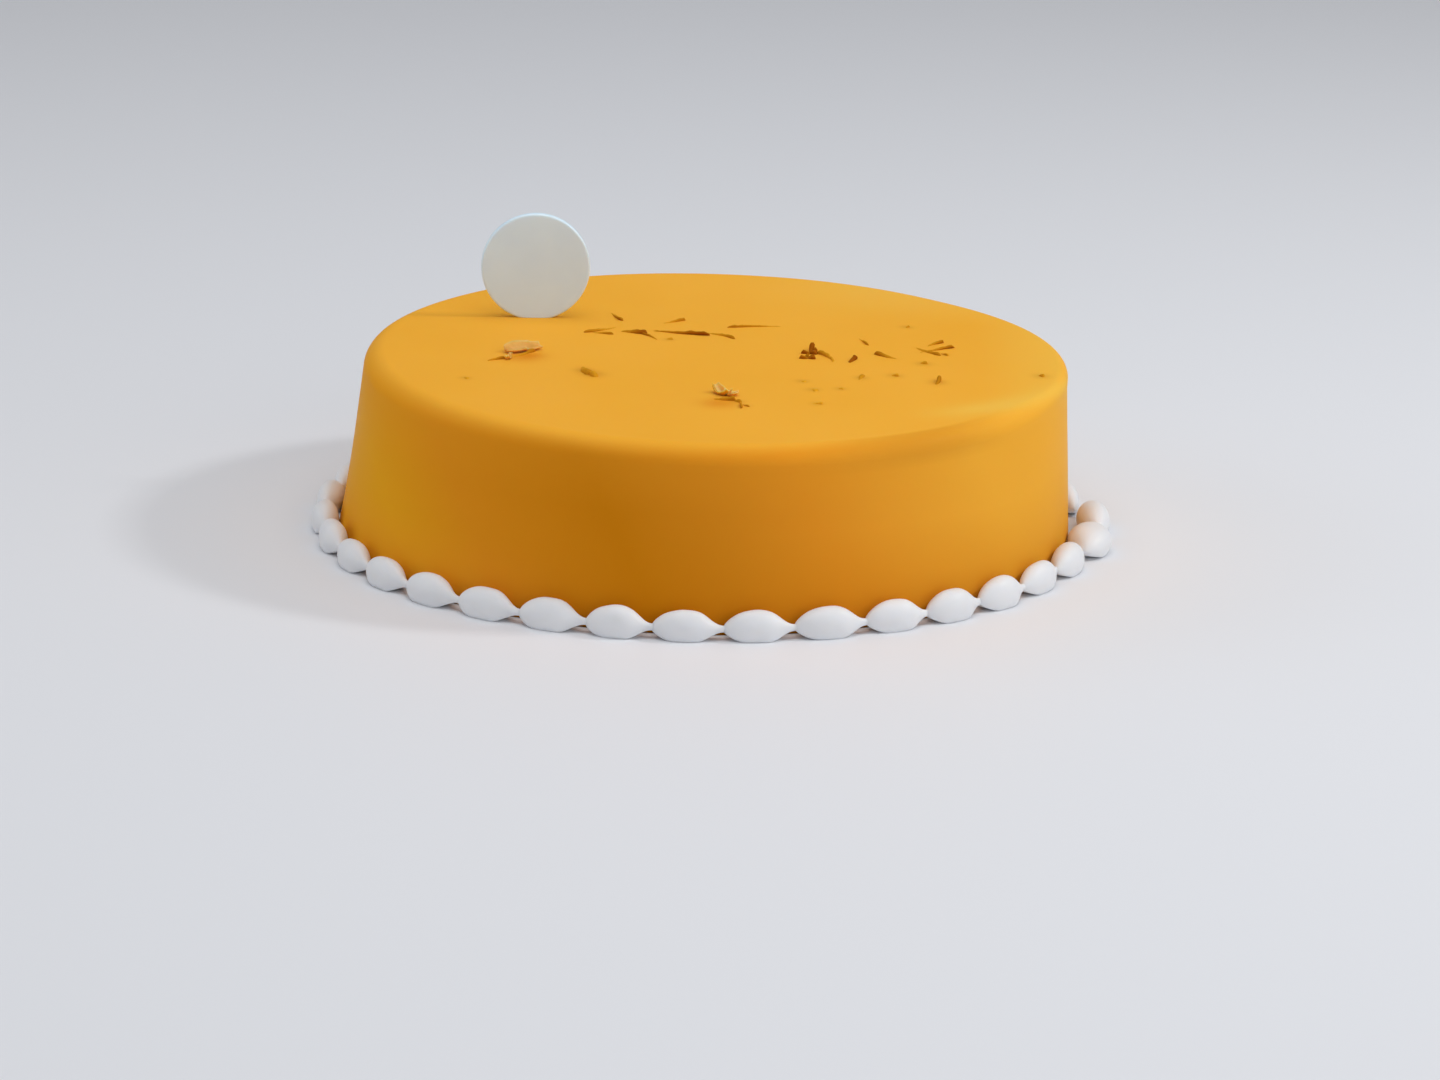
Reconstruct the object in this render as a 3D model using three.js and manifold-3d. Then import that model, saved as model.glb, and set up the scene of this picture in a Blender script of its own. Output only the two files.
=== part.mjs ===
// A round cake under a smooth saffron glaze. Saffron threads and a few curled petals lie on its top,
// a ring of piped cream beads runs round its foot, and a blank round disc stands at the back left.
// Millimetres, +Z up. The origin is the middle of the cake's flat base.

import * as THREE from 'three';
import { mergeVertices } from 'three/addons/utils/BufferGeometryUtils.js';
import Module from 'manifold-3d';

const wasm = await Module();
wasm.setup();

// The cake's body. The rounded edge of its top is sharper on the right-hand side.
const cakeHeight = 57.5;
const baseRadius = 115.2;
const topRadius = 110.3;
const topEdgeRadius = 6.5;
const sharpSide = 5;
const sharpSpread = 45;
const sharperBy = 0.45;
const baseEdge = 0.8;
const cakeSegments = 96;
const topRings = 3;
const edgeSteps = 5;
const wallHeights = [3, 7, 12, 20, 36];

// How the hand-made cake is uneven
const topShift = 2.2;
const riseToBack = 1.3;
const riseToLeft = 0.9;
const crown = 0.5;
const wobble = 0.3;
const flareOut = 1.6;
const flareHeight = 16;

// The piped beads. Each has a round head and a short tail that runs counter-clockwise to the next head.
// On the right-hand side one is much wider, and the next strays from the cake's wall. At the front two start
// a little early.
const beadCount = 34;
const firstBeadAngle = 178.7;
const beadWidth = 8.1;
const beadHeight = 9.2;
const beadGap = 0.35;
const headShare = 0.45;
const headPower = 0.64;
const tipHeight = 3.3;
const tipSize = 0.2;
const tailBend = 3;
const tailPower = 3.1;
const footSpread = 1.1;
const beadRings = 10;
const beadSides = 8;
const footAngle = 35;
const wideSide = 353;
const wideSpread = 14.5;
const widerBy = 0.65;
const straySide = 4;
const straySpread = 13;
const strayBy = 3.6;
const earlySide = 274;
const earlySpread = 24;
const earlyBy = 1.2;

// The blank disc, pressed into the top
const discRadius = 17.5;
const discThickness = 2.6;
const discEdge = 0.7;
const discSegments = 48;
const discX = -56.5;
const discY = 38;
const discSunk = 0.9;
const discTurn = 4;
const slotClearance = 0.3;

// Saffron threads and crumbs: the middle, the length, the heading from +X in degrees, how far the thread
// turns along its length, its thickness at the swollen far end, and how far that end rises off the glaze
const threads = [
  { x: -34.8, y: 23.6, length: 14, heading: 219, bend: -30, thick: 1.25, rise: 0.4 },
  { x: -34.4, y: 18.5, length: 7.5, heading: -10, bend: -12, thick: 1.3, rise: 0.3 },
  { x: -30.3, y: 41, length: 11.5, heading: -70, bend: 10, thick: 1.3, rise: 0.4 },
  { x: -24.4, y: 20.5, length: 9, heading: -17, bend: -10, thick: 1.9, rise: 0.4 },
  { x: -19, y: 16, length: 9, heading: 125, bend: 20, thick: 1.3, rise: 0 },
  { x: -11.9, y: 36.5, length: 9, heading: 34, bend: 20, thick: 1.6, rise: 0.3 },
  { x: -9.3, y: 22, length: 19, heading: -13, bend: 14, thick: 1.7, rise: 0.5 },
  { x: 2.7, y: 19.8, length: 13, heading: -33, bend: -40, thick: 1.25, rise: 0.3 },
  { x: -12.9, y: 13.5, length: 3, heading: 6, bend: 0, thick: 1.4, rise: 0 },
  { x: 14.6, y: 32.8, length: 18.5, heading: 192, bend: 10, thick: 1.2, rise: 0.3 },
  { x: 32, y: 4.6, length: 3.4, heading: 78, bend: 0, thick: 3, rise: 0.8 },
  { x: 32.9, y: 4.4, length: 2.6, heading: -20, bend: 0, thick: 1.8, rise: 0.6 },
  { x: 30.5, y: 0.4, length: 3.2, heading: 170, bend: 20, thick: 2, rise: 0.4 },
  { x: 29.9, y: -5, length: 3.4, heading: 188, bend: -20, thick: 1.9, rise: 0.2 },
  { x: 31.7, y: -4.8, length: 3.6, heading: -8, bend: 40, thick: 2.5, rise: 0.3 },
  { x: 32.2, y: 1, length: 3.6, heading: -35, bend: -10, thick: 2.4, rise: 0.4 },
  { x: 30.8, y: -2.4, length: 3.4, heading: -85, bend: 0, thick: 2, rise: 0.2 },
  { x: 36.1, y: -3.8, length: 12.8, heading: 113.6, bend: 70, thick: 2.2, rise: 0.2 },
  { x: 45, y: -5.9, length: 6, heading: 71, bend: 0, thick: 1.7, rise: 0.2 },
  { x: 49.1, y: 18.3, length: 9.5, heading: -72, bend: 10, thick: 1.3, rise: 0.2 },
  { x: 55.7, y: 0.6, length: 9.2, heading: 142, bend: -12, thick: 1.8, rise: 0.3 },
  { x: 69, y: 9, length: 12.8, heading: -50, bend: 25, thick: 1.5, rise: 0.2 },
  { x: 71.8, y: 10.6, length: 14.5, heading: 35, bend: -14, thick: 1.5, rise: 0.5 },
  { x: 71.6, y: 18, length: 8.5, heading: 49, bend: -16, thick: 1.7, rise: 0.3 },
  { x: 74.3, y: 5.8, length: 4, heading: -50, bend: 0, thick: 1.2, rise: 0 },
  { x: 67.3, y: -6.6, length: 3, heading: 7, bend: 0, thick: 2.2, rise: 0 },
  { x: 63.4, y: 39.5, length: 2.6, heading: 49, bend: 0, thick: 1.6, rise: 0 },
  { x: 57.9, y: -22.4, length: 3.2, heading: -15, bend: 0, thick: 2.2, rise: 0 },
  { x: 47.3, y: -26.4, length: 6, heading: 80, bend: 0, thick: 1.8, rise: 0 },
  { x: 70.9, y: -28.5, length: 6.4, heading: 74, bend: 10, thick: 2.5, rise: 0.3 },
  { x: 103.8, y: -16.4, length: 2.8, heading: -41, bend: 0, thick: 2.3, rise: 0 },
  { x: 29, y: -32.7, length: 3.5, heading: -55, bend: 0, thick: 1.7, rise: 0 },
  { x: 32.3, y: -42.3, length: 5, heading: -62, bend: 0, thick: 1.8, rise: 0 },
  { x: 40.7, y: -40.2, length: 3, heading: -33, bend: 0, thick: 1.5, rise: 0 },
  { x: 33.3, y: -58.3, length: 4, heading: -7, bend: 0, thick: 1.6, rise: 0 },
  { x: 5.1, y: -57.4, length: 7.2, heading: -10, bend: 14, thick: 2.5, rise: 0.2 },
  { x: 8.7, y: -59, length: 4, heading: -30, bend: -20, thick: 1.4, rise: 0.2 },
  { x: 10.2, y: -62, length: 9.5, heading: -88, bend: 8, thick: 1.2, rise: 0.5 },
  { x: 11.6, y: -63.2, length: 3.8, heading: -50, bend: 10, thick: 1, rise: 0.2 },
  { x: -38.4, y: -28.2, length: 10, heading: -75, bend: 0, thick: 3, rise: 0 },
  { x: -35.6, y: -32.2, length: 7, heading: -78, bend: 20, thick: 3.4, rise: 0 },
  { x: -58, y: -10, length: 10.5, heading: 50, bend: 10, thick: 1.5, rise: 0.3 },
  { x: -66.4, y: -17.4, length: 6.8, heading: 30, bend: 0, thick: 1.6, rise: 0 },
  { x: -74.6, y: -40.5, length: 3, heading: -53, bend: 0, thick: 1.4, rise: 0 },
];
const threadSides = 5;
const threadStep = 3.2;
const threadSunk = 0.22;

// Curled petals: the middle, the length along the heading, the width, the heading, the lift of the ends, and
// how far the left edge stands above the right one
const petals = [
  { x: -58.4, y: -6, length: 12.5, width: 4.9, heading: 31, lift: 0.4, tilt: 1.6 },
  { x: -62.5, y: -15.8, length: 4.6, width: 1.8, heading: 75, lift: 1.2, tilt: 0 },
  { x: 4.4, y: -51, length: 7.5, width: 4.2, heading: -55, lift: 2, tilt: 0 },
  { x: 6.9, y: -52, length: 4.6, width: 3.4, heading: -14, lift: 1, tilt: 0 },
];
const petalThickness = 0.8;
const petalSunk = 0.3;
const petalLengthCells = 6;
const petalWidthCells = 3;
const petalCurl = 0.45;
const petalTaper = 0.75;

const radians = THREE.MathUtils.degToRad;

function smoothStep(value, low, high) {
  return THREE.MathUtils.smoothstep(value, low, high);
}

// The height of the cake's top at a place on it
function topHeight(x, y) {
  const outward = Math.hypot(x, y) / topRadius;
  const slope = (riseToBack * y - riseToLeft * x) / topRadius;
  return cakeHeight + slope + crown * (1 - outward * outward);
}

// How far the cake's wall stands out at an angle and a height
function wallRadius(angle, z) {
  const taper = THREE.MathUtils.lerp(baseRadius, topRadius, z / cakeHeight);
  const towardsLeft = smoothStep(-Math.cos(angle), -0.1, 1);
  const flare = flareOut * towardsLeft * Math.exp(-z / flareHeight);
  return taper + flare + wobble * Math.sin(3 * angle + 0.6) + 0.5 * wobble * Math.sin(7 * angle);
}

// A closed solid from loops of points, one after another, each run counter-clockwise seen from the last loop
function loft(loops) {
  const count = loops[0].length;
  const positions = loops.flatMap((loop) => loop.flatMap((point) => [point.x, point.y, point.z]));
  const indices = [];
  for (let ring = 0; ring + 1 < loops.length; ring += 1) {
    for (let side = 0; side < count; side += 1) {
      const next = (side + 1) % count;
      const a = ring * count + side;
      const b = ring * count + next;
      const c = a + count;
      const d = b + count;
      indices.push(a, b, d, a, d, c);
    }
  }
  const last = (loops.length - 1) * count;
  for (let side = 1; side + 1 < count; side += 1) {
    indices.push(0, side + 1, side);
    indices.push(last, last + side, last + side + 1);
  }
  const geometry = new THREE.BufferGeometry();
  geometry.setAttribute('position', new THREE.Float32BufferAttribute(positions, 3));
  geometry.setIndex(indices);
  return geometry;
}

// A solid for joining and cutting, from any closed geometry
function solidOf(geometry) {
  const bare = geometry.clone();
  bare.deleteAttribute('normal');
  bare.deleteAttribute('uv');
  const merged = mergeVertices(bare, 1e-4);
  const source = merged.index.array;
  const kept = [];
  for (let i = 0; i < source.length; i += 3) {
    const [a, b, c] = [source[i], source[i + 1], source[i + 2]];
    if (a !== b && b !== c && c !== a) kept.push(a, b, c);
  }
  return new wasm.Manifold(new wasm.Mesh({
    numProp: 3,
    vertProperties: new Float32Array(merged.attributes.position.array),
    triVerts: new Uint32Array(kept),
  }));
}

function geometryOf(solid) {
  const mesh = solid.getMesh();
  const geometry = new THREE.BufferGeometry();
  geometry.setAttribute('position', new THREE.BufferAttribute(mesh.vertProperties.slice(), 3));
  geometry.setIndex(new THREE.BufferAttribute(mesh.triVerts.slice(), 1));
  geometry.computeVertexNormals();
  return geometry;
}

// How near an angle is to the middle of a stretch of the ring, from 0 outside the stretch to 1
function nearness(angle, middle, spread) {
  return smoothStep(Math.cos(angle - radians(middle)), Math.cos(radians(spread)), 1);
}

// How much of its full radius the top's edge has at an angle: the edge is sharper on the right-hand side
function edgeShare(angle) {
  return 1 - sharperBy * nearness(angle, sharpSide, sharpSpread);
}

// The body's outline from the middle of the base, up the wall and over the edge to the middle of the top.
// Its y is the height, which shapeBody then fits to the uneven cake.
function bodyOutline() {
  const points = [new THREE.Vector2(0, 0)];
  points.push(new THREE.Vector2(baseRadius - baseEdge, 0));
  points.push(new THREE.Vector2(baseRadius, baseEdge));
  for (const z of wallHeights) points.push(new THREE.Vector2(baseRadius, z));
  const arcX = topRadius - topEdgeRadius;
  const arcZ = cakeHeight - topEdgeRadius;
  for (let step = 0; step <= edgeSteps; step += 1) {
    const turn = (Math.PI / 2) * (step / edgeSteps);
    const out = topEdgeRadius * Math.cos(turn);
    points.push(new THREE.Vector2(arcX + out, arcZ + topEdgeRadius * Math.sin(turn)));
  }
  for (let ring = topRings - 1; ring >= 0; ring -= 1) {
    points.push(new THREE.Vector2((arcX * ring) / topRings, cakeHeight));
  }
  return points;
}

// Draws a point of the outline in, so that the rounded edge keeps only a share of its radius
function sharpenEdge(radius, z, share) {
  const arcX = topRadius - topEdgeRadius;
  const arcZ = cakeHeight - topEdgeRadius;
  if (z < arcZ - 0.01) return [radius, (z * (cakeHeight - share * topEdgeRadius)) / arcZ];
  const drawnZ = cakeHeight - share * (cakeHeight - z);
  if (radius > arcX) return [topRadius - share * (topRadius - radius), drawnZ];
  return [(radius * (topRadius - share * topEdgeRadius)) / arcX, drawnZ];
}

// Moves the plain lathe's points to the taper, the flare at the foot and the sloping top
function shapeBody(geometry) {
  const position = geometry.attributes.position;
  const arcZ = cakeHeight - topEdgeRadius;
  for (let i = 0; i < position.count; i += 1) {
    const x = position.getX(i);
    const y = position.getY(i);
    const angle = Math.atan2(y, x);
    const [radius, z] = sharpenEdge(Math.hypot(x, y), position.getZ(i), edgeShare(angle));
    const upright = z / cakeHeight;
    const plainRadius = position.getZ(i) < arcZ - 0.01 ? baseRadius : topRadius;
    const wall = wallRadius(angle, Math.min(z, arcZ));
    const newRadius = radius * (wall / plainRadius);
    const newX = newRadius * Math.cos(angle) + topShift * upright;
    const newY = newRadius * Math.sin(angle);
    const raised = (topHeight(newX, newY) - cakeHeight) * smoothStep(upright, 0.3, 1);
    position.setXYZ(i, newX, newY, z + raised);
  }
  return geometry;
}

function makeBody() {
  const geometry = new THREE.LatheGeometry(bodyOutline(), cakeSegments);
  geometry.rotateX(Math.PI / 2);
  return shapeBody(geometry);
}

// A thread: a bent tube that swells towards its far end and lies a little sunk in the glaze
function makeThread(thread) {
  const steps = Math.max(2, Math.round(thread.length / threadStep));
  const heading = radians(thread.heading);
  const bend = radians(thread.bend);
  const centres = [];
  const place = new THREE.Vector2(0, 0);
  for (let step = 0; step <= steps; step += 1) {
    centres.push(place.clone());
    const turned = heading + bend * ((step + 0.5) / steps - 0.5);
    place.x += (thread.length / steps) * Math.cos(turned);
    place.y += (thread.length / steps) * Math.sin(turned);
  }
  const middle = centres[0].clone().add(centres[steps]).multiplyScalar(0.5);
  const loops = centres.map((centre, step) => {
    const along = step / steps;
    const swell = 0.55 + 0.45 * Math.sin(Math.PI * Math.min(1, 0.12 + along * 0.75));
    const radius = (thread.thick / 2) * swell;
    const facing = heading + bend * (along - 0.5);
    const x = thread.x + centre.x - middle.x;
    const y = thread.y + centre.y - middle.y;
    const z = topHeight(x, y) + radius - thread.thick * threadSunk + thread.rise * along * along;
    const loop = [];
    for (let side = 0; side < threadSides; side += 1) {
      const turn = (2 * Math.PI * side) / threadSides + 0.3;
      const across = radius * Math.cos(turn);
      loop.push(new THREE.Vector3(
        x - across * Math.sin(facing),
        y + across * Math.cos(facing),
        z + radius * Math.sin(turn),
      ));
    }
    return loop;
  });
  return loft(loops);
}

// A petal: a thin plate that narrows to both ends, curled up along its sides and at its ends
function makePetal(petal) {
  const heading = radians(petal.heading);
  const loops = [];
  for (let step = 0; step <= petalLengthCells; step += 1) {
    const along = step / petalLengthCells;
    const halfWidth = (petal.width / 2) * (0.4 + 0.6 * Math.sin(Math.PI * (0.08 + 0.84 * along ** petalTaper)));
    const endLift = petal.lift * (2 * along - 1) ** 2;
    const upper = [];
    const lower = [];
    for (let cell = 0; cell <= petalWidthCells; cell += 1) {
      const across = (2 * cell) / petalWidthCells - 1;
      const u = (along - 0.5) * petal.length;
      const v = across * halfWidth;
      const x = petal.x + u * Math.cos(heading) - v * Math.sin(heading);
      const y = petal.y + u * Math.sin(heading) + v * Math.cos(heading);
      const tilted = (petal.tilt * (v + halfWidth)) / petal.width;
      const z = topHeight(x, y) - petalSunk + endLift + tilted + petalCurl * halfWidth * across * across;
      lower.push(new THREE.Vector3(x, y, z));
      upper.push(new THREE.Vector3(x, y, z + petalThickness));
    }
    loops.push([...upper, ...lower.reverse()]);
  }
  return loft(loops.reverse());
}

function makeDisc(radius, thickness, edge) {
  const half = thickness / 2;
  const outline = [
    new THREE.Vector2(0, -half),
    new THREE.Vector2(radius - edge, -half),
    new THREE.Vector2(radius, -half + edge),
    new THREE.Vector2(radius, half - edge),
    new THREE.Vector2(radius - edge, half),
    new THREE.Vector2(0, half),
  ];
  const geometry = new THREE.LatheGeometry(outline, discSegments);
  geometry.rotateZ(radians(discTurn));
  geometry.translate(discX, discY, topHeight(discX, discY) + discRadius - discSunk);
  return geometry;
}

// The angle at which a bead's head starts. The steps wander a little, as a piping hand does.
function beadAngle(index) {
  const turn = (2 * Math.PI * index) / beadCount;
  const wander = 2.4 * Math.sin(2 * turn + 0.17) + 1.2 * Math.sin(3 * turn + 2.19);
  const angle = firstBeadAngle + (360 * index) / beadCount + wander;
  return radians(angle - earlyBy * nearness(radians(angle), earlySide, earlySpread));
}

// How full a bead is piped: a little different each time
function beadFullness(index) {
  return 1 + 0.016 * Math.sin(5.3 * index + 0.8) + 0.014 * Math.sin(2.1 * index);
}

// How large the bead is at a share of its length, from 0 to 1
function beadShape(along) {
  if (along < headShare) return (1 - (1 - along / headShare) ** 2) ** headPower;
  const inTail = (along - headShare) / (1 - headShare);
  return tipSize + (1 - tipSize) * (1 - inTail ** tailBend) ** tailPower;
}

// One bead, bent round the ring, with its middle at the origin, +Y outwards and its head towards +X.
// Both its ends float just above its flat foot on z = 0.
function makeBead(step, ringRadius, width, height) {
  const loops = [];
  for (let ring = 0; ring < beadRings; ring += 1) {
    const along = (1 - Math.cos((Math.PI * (ring + 0.3)) / (beadRings - 0.7))) / 2;
    const shape = beadShape(along);
    const rise = (height - tipHeight) * shape;
    const drop = tipHeight * Math.min(1, shape * footSpread);
    const turned = step * (0.5 - along);
    const loop = [];
    for (let side = 0; side < beadSides; side += 1) {
      const turn = radians(THREE.MathUtils.lerp(-footAngle, 180 + footAngle, side / (beadSides - 1)));
      const lift = Math.sin(turn);
      const z = lift > 0 ? rise * lift : (drop * lift) / Math.sin(radians(footAngle));
      const radius = ringRadius + (width / 2) * shape * Math.cos(turn);
      loop.push(new THREE.Vector3(
        radius * Math.sin(turned),
        radius * Math.cos(turned) - ringRadius,
        tipHeight + z,
      ));
    }
    loops.push(loop);
  }
  return loft(loops.reverse());
}

function meshOf(name, geometry, material) {
  const mesh = new THREE.Mesh(geometry, material);
  mesh.name = name;
  return mesh;
}

const glaze = new THREE.MeshStandardMaterial({ color: 0xe9a636, roughness: 0.28, metalness: 0 });
const cream = new THREE.MeshStandardMaterial({ color: 0xf1eee9, roughness: 0.5, metalness: 0 });
const plaque = new THREE.MeshStandardMaterial({ color: 0xe4e6ea, roughness: 0.45, metalness: 0 });

function makeCake() {
  let solid = solidOf(makeBody());
  for (const thread of threads) solid = solid.add(solidOf(makeThread(thread)));
  for (const petal of petals) solid = solid.add(solidOf(makePetal(petal)));
  const slot = makeDisc(discRadius + slotClearance, discThickness + 2 * slotClearance, discEdge);
  solid = solid.subtract(solidOf(slot));
  return meshOf('cake', geometryOf(solid), glaze);
}

function makeBeads() {
  const beads = [];
  for (let index = 0; index < beadCount; index += 1) {
    const start = beadAngle(index);
    const next = index + 1 < beadCount ? beadAngle(index + 1) : beadAngle(0) + 2 * Math.PI;
    const middle = (start + next) / 2;
    const fullness = beadFullness(index);
    const width = beadWidth * fullness * (1 + widerBy * nearness(middle, wideSide, wideSpread));
    const stray = strayBy * nearness(middle, straySide, straySpread);
    const ringRadius = wallRadius(middle, 1) + beadGap + width / 2 + stray;
    const step = next - start - beadGap / ringRadius;
    const name = `bead_${String(index + 1).padStart(2, '0')}`;
    const mesh = meshOf(name, makeBead(step, ringRadius, width, beadHeight * fullness), cream);
    mesh.position.y = ringRadius;
    const holder = new THREE.Group();
    holder.rotation.z = middle - Math.PI / 2;
    holder.add(mesh);
    beads.push(holder);
  }
  return beads;
}

const group = new THREE.Group();
group.add(makeCake());
group.add(meshOf('topper_disc', geometryOf(solidOf(makeDisc(discRadius, discThickness, discEdge))), plaque));
for (const bead of makeBeads()) group.add(bead);

export default group;
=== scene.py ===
# A round saffron cake: a smooth glazed body, saffron threads and petals on its top, a ring of piped cream
# beads round its foot and a plain round disc that stands at the back left.
# Metres, +Z up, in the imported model's frame: the origin is the middle of the cake's flat base. A side is an
# angle in degrees from +X towards +Y, so 0 is the right and -90 or 270 is the front.

import math
import random
from collections import namedtuple

import bpy
from mathutils import Matrix, Vector, noise


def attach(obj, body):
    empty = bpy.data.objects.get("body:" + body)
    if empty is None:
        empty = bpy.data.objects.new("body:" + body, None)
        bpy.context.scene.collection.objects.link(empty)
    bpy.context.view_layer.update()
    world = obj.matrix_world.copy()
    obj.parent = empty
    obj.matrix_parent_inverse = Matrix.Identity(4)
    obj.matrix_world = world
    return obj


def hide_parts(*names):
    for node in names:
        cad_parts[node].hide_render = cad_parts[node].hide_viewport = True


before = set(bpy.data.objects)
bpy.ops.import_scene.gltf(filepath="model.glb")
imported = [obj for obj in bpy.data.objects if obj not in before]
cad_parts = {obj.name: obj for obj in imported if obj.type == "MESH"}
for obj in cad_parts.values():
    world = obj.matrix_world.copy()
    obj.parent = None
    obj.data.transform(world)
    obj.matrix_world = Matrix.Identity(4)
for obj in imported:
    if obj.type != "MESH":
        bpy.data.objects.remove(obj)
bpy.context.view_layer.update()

# The cake's body. The rounded edge of its top is sharper on the right-hand side, its wall flares out at the
# foot on the left, and its top is shifted a little to the right. The rise of the top to the back and the left
# starts at RISE_FROM of the wall's height.
CAKE_HEIGHT = 0.0575
BASE_RADIUS = 0.1152
TOP_RADIUS = 0.1103
TOP_EDGE_RADIUS = 0.0065
SHARP_SIDE = 5
SHARP_SPREAD = 45
SHARPER_BY = 0.45
BASE_EDGE = 0.0008
TOP_SHIFT = 0.0022
RISE_TO_BACK = 0.0013
RISE_TO_LEFT = 0.0009
RISE_FROM = 0.3
CROWN = 0.0005
WOBBLE = 0.0003
FLARE_OUT = 0.0016
FLARE_HEIGHT = 0.016

# Where the rounded edge meets the wall and the top, before it is sharpened
ARC_HEIGHT = CAKE_HEIGHT - TOP_EDGE_RADIUS
ARC_RADIUS = TOP_RADIUS - TOP_EDGE_RADIUS

# The body's mesh. The rings of its wall crowd towards the foot, and its ripples are noise at two scales.
BODY_SEGMENTS = 288
WALL_RINGS = 26
WALL_CROWDING = 1.5
EDGE_RINGS = 14
TOP_RINGS = 120
WALL_RIPPLE = 0.00012
WALL_RIPPLE_SCALES = (26, 60)
WALL_RIPPLE_BEGINS = (BASE_EDGE, 0.006)
WALL_RIPPLE_ENDS = (0.04, ARC_HEIGHT)
TOP_RIPPLE = 0.00003
TOP_RIPPLE_SCALES = (30, 75)

# Where the wall's colour, with its painted shade and light, turns into the top's, in degrees over the rounded
# edge, and how much later that is on the right
OVER_BEGINS = 10
OVER_ENDS = 75
LATE_SIDE = -30
BEGINS_LATER_BY = 40
ENDS_LATER_BY = 13

# A band of painted shade over the edge, at the right of the front, that darkens the lit edge there: at which
# sides it comes and goes, how far below the edge it starts, where it ends in degrees over the edge, and how
# strong it is
EDGE_SHADE_BEGINS = (-80, -54)
EDGE_SHADE_ENDS = (-52, -30)
EDGE_SHADE_BELOW = 0.004
EDGE_SHADE_OVER = (76, 90)
EDGE_SHADE_STRENGTH = 0.5

# A painted highlight: a soft paler band which slants over the edge on the right. Its middle is GLEAM_INWARD
# from the rim at GLEAM_SIDE, and further out and down by GLEAM_SLANT for each degree round to the back.
GLEAM_SIDE = -36
GLEAM_INWARD = 0.0119
GLEAM_SLANT = 0.00055
GLEAM_WIDTH = 0.0065
GLEAM_BEGINS = (-52, -34)
GLEAM_ENDS = (-18, 20)
GLEAM_STRENGTH = 0.9

# The piped beads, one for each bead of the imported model. On the right-hand side one is much wider, and the
# next strays from the cake's wall. At the front a few start a little early.
BEAD_COUNT = sum(name.startswith("bead_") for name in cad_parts)
FIRST_BEAD_ANGLE = 178.7
BEAD_WIDTH = 0.0081
BEAD_HEIGHT = 0.0092
BEAD_GAP = 0.00035
HEAD_SHARE = 0.45
HEAD_POWER = 0.64
TIP_HEIGHT = 0.0033
TIP_SIZE = 0.2
TAIL_BEND = 3
TAIL_POWER = 3.1
FOOT_SPREAD = 1.1
FOOT_ANGLE = 35
WIDE_SIDE = 353
WIDE_SPREAD = 14.5
WIDER_BY = 0.65
STRAY_SIDE = 4
STRAY_SPREAD = 13
STRAY_BY = 0.0036
EARLY_SIDE = 274
EARLY_SPREAD = 24
EARLY_BY = 1.2
BEAD_RINGS = 44
BEAD_SIDES = 40
BEAD_OVERLAP = 0.0008
BEAD_UNEVENNESS = 0.00018
INNER_PRESS = 1.1

# The plain disc. Its faces have rings at shares of its radius, and its rims are rounded.
DISC_RADIUS = 0.0175
DISC_THICKNESS = 0.0026
DISC_RIM = 0.0007
DISC_X = -0.0565
DISC_Y = 0.038
DISC_SUNK = 0.0009
DISC_TURN = 4
DISC_SEGMENTS = 160
DISC_FACE_RINGS = (0.3, 0.6, 0.85, 0.93)
DISC_RIM_STEPS = 8

# The camera, from the photograph's view
LENS_MM = 125
SENSOR_MM = 36
CAMERA_PLACE = (0.0047, -1.5298, 0.4372)
CAMERA_DOWN = 16.08
CAMERA_ROLL = 1.3

# The floor, and the square lights: name, place, size, watts and colour
FLOOR_REACH = 6.0
LIGHT_AIM = (0, 0, 0.03)
LIGHTS = [
    ("key", (1.258, 0.044, 1.05), 0.18, 7.1, (1.0, 1.0, 1.0)),
    ("overhead", (0, -0.1, 1.48), 1.4, 11.6, (0.98, 0.99, 1.0)),
    ("right", (1.483, -0.856, 0.586), 1.0, 2.7, (1.0, 1.0, 1.0)),
    ("front", (0.585, -1.609, 0.586), 1.2, 4.4, (0.98, 0.99, 1.0)),
    ("left", (-2.752, 0.204, 0.769), 1.98, 14.5, (1.0, 1.0, 1.0)),
]
WORLD_COLOUR = (0.93, 0.95, 1.0)
WORLD_STRENGTH = 0.27

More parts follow.
